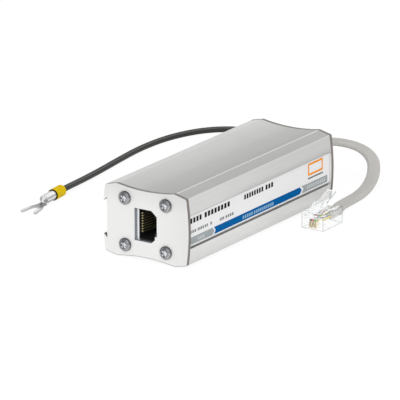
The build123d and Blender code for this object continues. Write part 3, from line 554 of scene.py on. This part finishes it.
HOUSING = extruded_metal("anodised_extrusion", (0.66, 0.66, 0.65), 0.35, 0.42)
PLATE = plate_metal(
    "anodised_plate_sheet", (0.82, 0.82, 0.81), (0.22, 0.2, 0.18), (0.31, 0.34, 0.37)
)
ZINC = screw_metal("zinc_screw")
TERMINAL = terminal_metal("tinned_terminal")
TIN = bright_metal("bright_tin", (0.8, 0.8, 0.81))
SHIELD = shield_metal("tinned_shield")
GOLD = contact_metal("gold_flash", (0.78, 0.68, 0.38), 0.6, -3.75 * MM)
BLADE_GOLD = contact_metal("gold_blade", (0.8, 0.66, 0.36), 0.25)
BLACK = moulded("black_moulding", (0.012, 0.012, 0.013), 0.5)
BOARD = moulded("board_laminate", (0.03, 0.17, 0.07), 0.4, 0.85, 700)
RESISTOR = moulded("resistor_coat", (0.5, 0.38, 0.2), 0.5)
CERAMIC = moulded("arrester_ceramic", (0.8, 0.78, 0.72), 0.55, 0.96)
RUBBER = moulded("grommet_rubber", (0.025, 0.025, 0.025), 0.65)
YELLOW = sleeve_plastic("yellow_sleeve", (0.86, 0.6, 0.004))
GREY_JACKET = jacket("grey_cord_jacket", (0.55, 0.535, 0.512), 0.42, ribs=1.02 * MM)
DARK_JACKET = jacket("dark_lead_jacket", (0.045, 0.045, 0.043), 0.4, streak=0.8, top=3.0)
CORE_GREY = moulded("core_grey", (0.2, 0.2, 0.2), 0.4)
CORE_BLACK = moulded("core_black", (0.02, 0.018, 0.016), 0.4)
CORE_RED = moulded("core_red", (0.6, 0.03, 0.03), 0.4)
CORE_GREEN = moulded("core_green", (0.01, 0.32, 0.06), 0.4)
CORE_YELLOW = moulded("core_yellow", (0.72, 0.58, 0.06), 0.4)
CLEAR = clear_plastic("clear_moulding", 0.93, "plug_body")
CLEAR_LATCH = clear_plastic("clear_latch", 0.82)
WHITE_FILM = label_paper("label_white", (0.88, 0.88, 0.88))
BLUE_FILM = label_paper("label_blue", (0.0, 0.115, 0.36), 0.02)
GREY_FILM = label_paper("label_grey", (0.36, 0.395, 0.41))
PALE_BLUE_FILM = label_paper("label_pale_blue", (0.25, 0.45, 0.62))
PALE_GREY_FILM = label_paper("label_pale_grey", (0.58, 0.61, 0.62))
DARK_FILM = label_paper("label_dark", (0.015, 0.015, 0.018), 0.02)
SMOKE_FILM = label_paper("label_smoke", (0.2, 0.2, 0.21))
ORANGE_FILM = label_paper("label_orange", (0.95, 0.33, 0.01), 0.02)

node_materials = {
    "housing_profile": HOUSING,
    "front_plate": PLATE,
    "rear_plate": PLATE,
    "front_screws": ZINC,
    "rear_screws": ZINC,
    "jack_housing": BLACK,
    "jack_shield": SHIELD,
    "jack_contacts": GOLD,
    "circuit_board": BOARD,
    "fork_terminal": TERMINAL,
    "terminal_strands": TIN,
    "terminal_sleeve": YELLOW,
    "cord_grommet": RUBBER,
    "lead_grommet": RUBBER,
    "board_cores": CORE_GREY,
    "board_strands": TIN,
    "side_label": WHITE_FILM,
    "plug_body": CLEAR,
    "plug_latch": CLEAR_LATCH,
    "plug_contacts": BLADE_GOLD,
    "plug_core_black": CORE_BLACK,
    "plug_core_red": CORE_RED,
    "plug_core_green": CORE_GREEN,
    "plug_core_yellow": CORE_YELLOW,
}
for number in (1, 2):
    node_materials[f"arrester_rings_{number}"] = CERAMIC
    node_materials[f"arrester_electrodes_{number}"] = TIN
    node_materials[f"suppressor_diode_{number}"] = BLACK
for number in (1, 2, 3, 4):
    node_materials[f"resistor_{number}"] = RESISTOR
for name, material in node_materials.items():
    mesh = nodes[name].data
    mesh.materials.clear()
    mesh.materials.append(material)


# Cords


def curve_points(route, resolution=10):
    """Points of one smooth spline with the route's points (in millimetres) as its controls."""
    curve = bpy.data.curves.new("route", "CURVE")
    curve.dimensions = "3D"
    spline = curve.splines.new("NURBS")
    spline.points.add(len(route) - 1)
    for point, place in zip(spline.points, route):
        point.co = (*(c * MM for c in place), 1)
    spline.order_u = 3
    spline.use_endpoint_u = True
    spline.resolution_u = resolution
    holder = placed("route", curve)
    mesh = bpy.data.meshes.new_from_object(holder)
    points = [v.co.copy() for v in mesh.vertices]
    bpy.data.objects.remove(holder)
    bpy.data.meshes.remove(mesh)
    bpy.data.curves.remove(curve)
    return points


def level_frames(points):
    """(sideways, upward) at each point of a line, with sideways kept level."""
    frames = []
    for index, point in enumerate(points):
        before = points[max(index - 1, 0)]
        after = points[min(index + 1, len(points) - 1)]
        ahead = (after - before).normalized()
        side = ahead.cross(Vector((0, 0, 1))).normalized()
        frames.append((side, side.cross(ahead).normalized()))
    return frames


def tube_mesh(name, points, section, material):
    """A closed tube of a given section, a list of (sideways, upward), along a line."""
    mesh = bpy.data.meshes.new(name)
    work = bmesh.new()
    layer = work.loops.layers.uv.new("UVMap")
    rings = []
    for point, (side, up) in zip(points, level_frames(points)):
        rings.append([work.verts.new(point + side * a + up * b) for a, b in section])
    along = [0.0]
    for first, second in zip(points, points[1:]):
        along.append(along[-1] + (second - first).length)
    around = [0.0]
    for (a, b), (c, d) in zip(section, section[1:] + section[:1]):
        around.append(around[-1] + ((c - a) ** 2 + (d - b) ** 2) ** 0.5)
    count = len(section)
    for ring in range(len(rings) - 1):
        for index in range(count):
            after = (index + 1) % count
            near, far = rings[ring], rings[ring + 1]
            face = work.faces.new((near[index], near[after], far[after], far[index]))
            face.smooth = True
            spots = (
                (along[ring], around[index]),
                (along[ring], around[index + 1]),
                (along[ring + 1], around[index + 1]),
                (along[ring + 1], around[index]),
            )
            for loop, spot in zip(face.loops, spots):
                loop[layer].uv = spot
    work.faces.new(list(reversed(rings[0])))
    work.faces.new(rings[-1])
    bmesh.ops.recalc_face_normals(work, faces=work.faces[:])
    work.to_mesh(mesh)
    work.free()
    mesh.materials.append(material)
    return placed(name, mesh)


def rounded_section(width, height, radius, steps=5):
    """Outline of a rectangle with round corners, centred, as (sideways, upward)."""
    outline = []
    corners = ((1, 1, 0), (-1, 1, 90), (-1, -1, 180), (1, -1, 270))
    for side, up, start in corners:
        for step in range(steps + 1):
            angle = radians(start + 90 * step / steps)
            outline.append(
                (
                    side * (width / 2 - radius) + radius * cos(angle),
                    up * (height / 2 - radius) + radius * sin(angle),
                )
            )
    return outline


def round_section(diameter, steps=20):
    """Outline of a circle as (sideways, upward)."""
    angles = [2 * pi * index / steps for index in range(steps)]
    return [(diameter / 2 * cos(angle), diameter / 2 * sin(angle)) for angle in angles]


phone_route = [
    (-5.5, 44.0, 14.9),
    (-5.5, 57.5, 14.9),
    (-6.6, 67.0, 14.3),
    (-5.0, 76.4, 13.4),
    (0.5, 83.8, 12.4),
    (8.4, 87.0, 10.5),
    (15.2, 85.0, 7.5),
    (20.0, 77.7, 4.2),
    (23.1, 69.2, 2.3),
    (25.1, 60.3, 1.4),
    (25.9, 51.1, 1.35),
    (27.6, 41.4, 2.2),
    (31.2, 33.0, 3.3),
    (31.2, 25.0, 3.3),
]


def on_terminal(along, height):
    """A point of the terminal's middle plane, along back from its tip, in millimetres."""
    return (
        TERMINAL_TIP[0] / MM + along * cos(TERMINAL_TURN),
        TERMINAL_TIP[1] / MM + along * sin(TERMINAL_TURN),
        height,
    )


lead_route = [
    (-4.5, 44.0, 7.9),
    (-4.5, 62.0, 7.9),
    (-8.6, 76.5, 6.2),
    (-18.0, 91.0, 3.0),
    (-32.0, 101.5, 1.3),
    (-47.5, 106.5, 1.2),
    (-62.3, 107.6, 1.2),
    (-73.6, 98.8, 1.2),
    (-79.8, 83.0, 1.2),
    (-81.0, 65.0, 1.2),
    (-79.2, 47.0, 1.2),
    (-76.9, 29.0, 1.2),
    (-75.2, 14.5, 1.5),
    on_terminal(29.4, 2.3),
    on_terminal(22.7, 2.3),
]

phone_line = curve_points(phone_route)
phone_cord = tube_mesh(
    "phone_cord_jacket", phone_line, rounded_section(5 * MM, 2.5 * MM, 1.1 * MM), GREY_JACKET
)
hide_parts("phone_cord")
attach(phone_cord, "unit")

lead_line = curve_points(lead_route)
earth_lead = tube_mesh("earth_lead_jacket", lead_line, round_section(2.4 * MM), DARK_JACKET)
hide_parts("earth_lead")
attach(earth_lead, "unit")


# Label print


INK_THICKNESS = 0.012 * MM
print_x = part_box("side_label")[1][0]


def print_shapes(name, outlines, material, lift=1):
    """Flat fields of ink on the label: each outline is a list of (y, z) in millimetres, and
    lift counts the layers of ink."""
    mesh = bpy.data.meshes.new(name)
    work = bmesh.new()
    for outline in outlines:
        low, high = (
            [work.verts.new((print_x + layer * INK_THICKNESS, y * MM, z * MM)) for y, z in outline]
            for layer in (lift - 1, lift)
        )
        work.faces.new(high)
        work.faces.new(list(reversed(low)))
        count = len(outline)
        for index in range(count):
            after = (index + 1) % count
            work.faces.new((low[index], low[after], high[after], high[index]))
    bmesh.ops.recalc_face_normals(work, faces=work.faces[:])
    work.to_mesh(mesh)
    work.free()
    mesh.materials.append(material)
    made = placed(name, mesh)
    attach(made, "unit")


def bar(y0, y1, z0, z1, front=0.0, rear=0.0):
    """A bar's outline; front and rear push the middle of that end along Y."""
    middle = (z0 + z1) / 2
    return [(y0, z0), (y1, z0), (y1 + rear, middle), (y1, z1), (y0, z1), (y0 + front, middle)]


def dashes(words, low, high, share=0.68):
    """Outlines of plain blocks that stand in for words; a word is (start, end, blocks)."""
    outlines = []
    for start, end, count in words:
        pitch = (end - start) / (count - 1 + share)
        for index in range(count):
            first = start + pitch * index
            last = first + pitch * share
            outlines.append([(first, low), (last, low), (last, high), (first, high)])
    return outlines


# Three bars, pointed where they meet
bar_low, bar_high = 8.8, 11.6
print_shapes("print_bar_front", [bar(-48.1, -32.3, bar_low, bar_high, 0, 1.1)], GREY_FILM)
print_shapes("print_bar_middle", [bar(-31.4, 27.3, bar_low, bar_high, 1.1, 1.4)], BLUE_FILM)
print_shapes("print_bar_rear", [bar(28.6, 46.7, bar_low, bar_high, 1.4, 0)], GREY_FILM)

# Blocks in the places of words
heading = dashes([(-47.1, -39.6, 4), (-37.6, -20.8, 8)], 16.9, 18.9)
heading_middle = dashes([(-11.0, 1.9, 8), (3.6, 8.7, 3)], 16.8, 18.7)
small_front = dashes(
    [(-47.2, -43.3, 3), (-42.2, -38.1, 4), (-37.5, -35.5, 2), (-33.8, -32.8, 1)], 13.1, 14.2
)
small_middle = dashes([(-27.5, -24.6, 3), (-23.6, -18.3, 4)], 12.9, 14.0)
on_blue = dashes([(-12.1, -5.3, 5), (-4.4, 9.0, 10)], 9.4, 10.7)
on_grey = dashes([(-42.0, -37.8, 4)], 9.5, 10.6)
on_grey += dashes([(32.3, 37.7, 4), (38.4, 45.2, 5)], 9.5, 10.9)
print_shapes("print_heading", heading, DARK_FILM)
print_shapes("print_heading_middle", heading_middle, DARK_FILM)
print_shapes("print_small_front", small_front, SMOKE_FILM)
print_shapes("print_small_middle", small_middle, SMOKE_FILM)
print_shapes("print_on_blue", on_blue, PALE_BLUE_FILM, 2)
print_shapes("print_on_grey", on_grey, PALE_GREY_FILM, 2)

# Plain frame with a line of blocks under it
frame_bars = [
    bar(33.1, 43.5, 18.55, 19.35),
    bar(33.1, 43.5, 14.5, 15.3),
    bar(33.1, 33.9, 15.3, 18.55),
    bar(42.7, 43.5, 15.3, 18.55),
]
print_shapes("print_frame", frame_bars, ORANGE_FILM)
print_shapes("print_under_frame", dashes([(33.2, 43.5, 11)], 13.1, 13.7, 0.8), DARK_FILM)


# Room, lamps and camera


def seen_directly(tree):
    """1 for camera, glossy and transmission rays, which show the white background."""
    path = tree.nodes.new("ShaderNodeLightPath")
    value = path.outputs["Is Camera Ray"]
    for name in ("Is Glossy Ray", "Is Transmission Ray"):
        larger = tree.nodes.new("ShaderNodeMath")
        larger.operation = "MAXIMUM"
        tree.links.new(value, larger.inputs[0])
        tree.links.new(path.outputs[name], larger.inputs[1])
        value = larger.outputs[0]
    return value


def studio():
    """Pale floor, a white surround and two soft lamps."""
    mesh = bpy.data.meshes.new("floor")
    mesh.from_pydata([(-4, -4, 0), (4, -4, 0), (4, 4, 0), (-4, 4, 0)], [], [(0, 1, 2, 3)])
    floor = placed("floor", mesh)
    s = Shader("floor_white")
    s.set(Roughness=0.9, Specular_IOR_Level=0.0, Base_Color=(0.93, 0.93, 0.93, 1))
    glow = s.node("ShaderNodeEmission")
    glow.inputs["Strength"].default_value = 1.05
    share = s.math("MULTIPLY", seen_directly(s.tree), 0.86)
    s.surface(share, s.bsdf.outputs[0], glow.outputs[0])
    mesh.materials.append(s.material)

    world = bpy.data.worlds.new("surround")
    bpy.context.scene.world = world
    world.use_nodes = True
    tree = world.node_tree
    background = tree.nodes["Background"]
    background.inputs["Color"].default_value = (1, 1, 1, 1)
    # It lights the part less than it shows as background
    level = tree.nodes.new("ShaderNodeMapRange")
    level.inputs["To Min"].default_value = 0.62
    level.inputs["To Max"].default_value = 1.0
    tree.links.new(seen_directly(tree), level.inputs["Value"])
    tree.links.new(level.outputs[0], background.inputs["Strength"])

    for name, direction, strength, spread in (
        ("key", (0.25, -0.85, 0.45), 1.15, 50),
        ("fill", (0.9, -0.1, 0.5), 0.55, 70),
    ):
        lamp = bpy.data.lights.new(name, "SUN")
        lamp.energy = strength
        lamp.angle = radians(spread)
        holder = placed(name, lamp)
        holder.rotation_euler = Vector(direction).to_track_quat("Z", "Y").to_euler()


def camera():
    """The photograph's view of the object."""
    across = cos(CAMERA_ELEVATION)
    back = Vector(
        (sin(CAMERA_AZIMUTH) * across, -cos(CAMERA_AZIMUTH) * across, sin(CAMERA_ELEVATION))
    )
    right = Vector((cos(CAMERA_AZIMUTH), sin(CAMERA_AZIMUTH), 0))
    up = back.cross(right)
    right_turned = right * cos(CAMERA_ROLL) + up * sin(CAMERA_ROLL)
    up_turned = -right * sin(CAMERA_ROLL) + up * cos(CAMERA_ROLL)
    place = back * CAMERA_DISTANCE + right_turned * CAMERA_RIGHT + up_turned * CAMERA_UP
    data = bpy.data.cameras.new("camera")
    data.sensor_width = 36
    data.lens = FOCAL_PIXELS * data.sensor_width / FRAME_PIXELS
    data.clip_end = 20
    made = placed("camera", data)
    turn = Matrix((right_turned, up_turned, back)).transposed().to_4x4()
    made.matrix_world = Matrix.Translation(place) @ turn
    bpy.context.scene.camera = made


studio()
camera()
bpy.context.scene.view_settings.view_transform = "Standard"
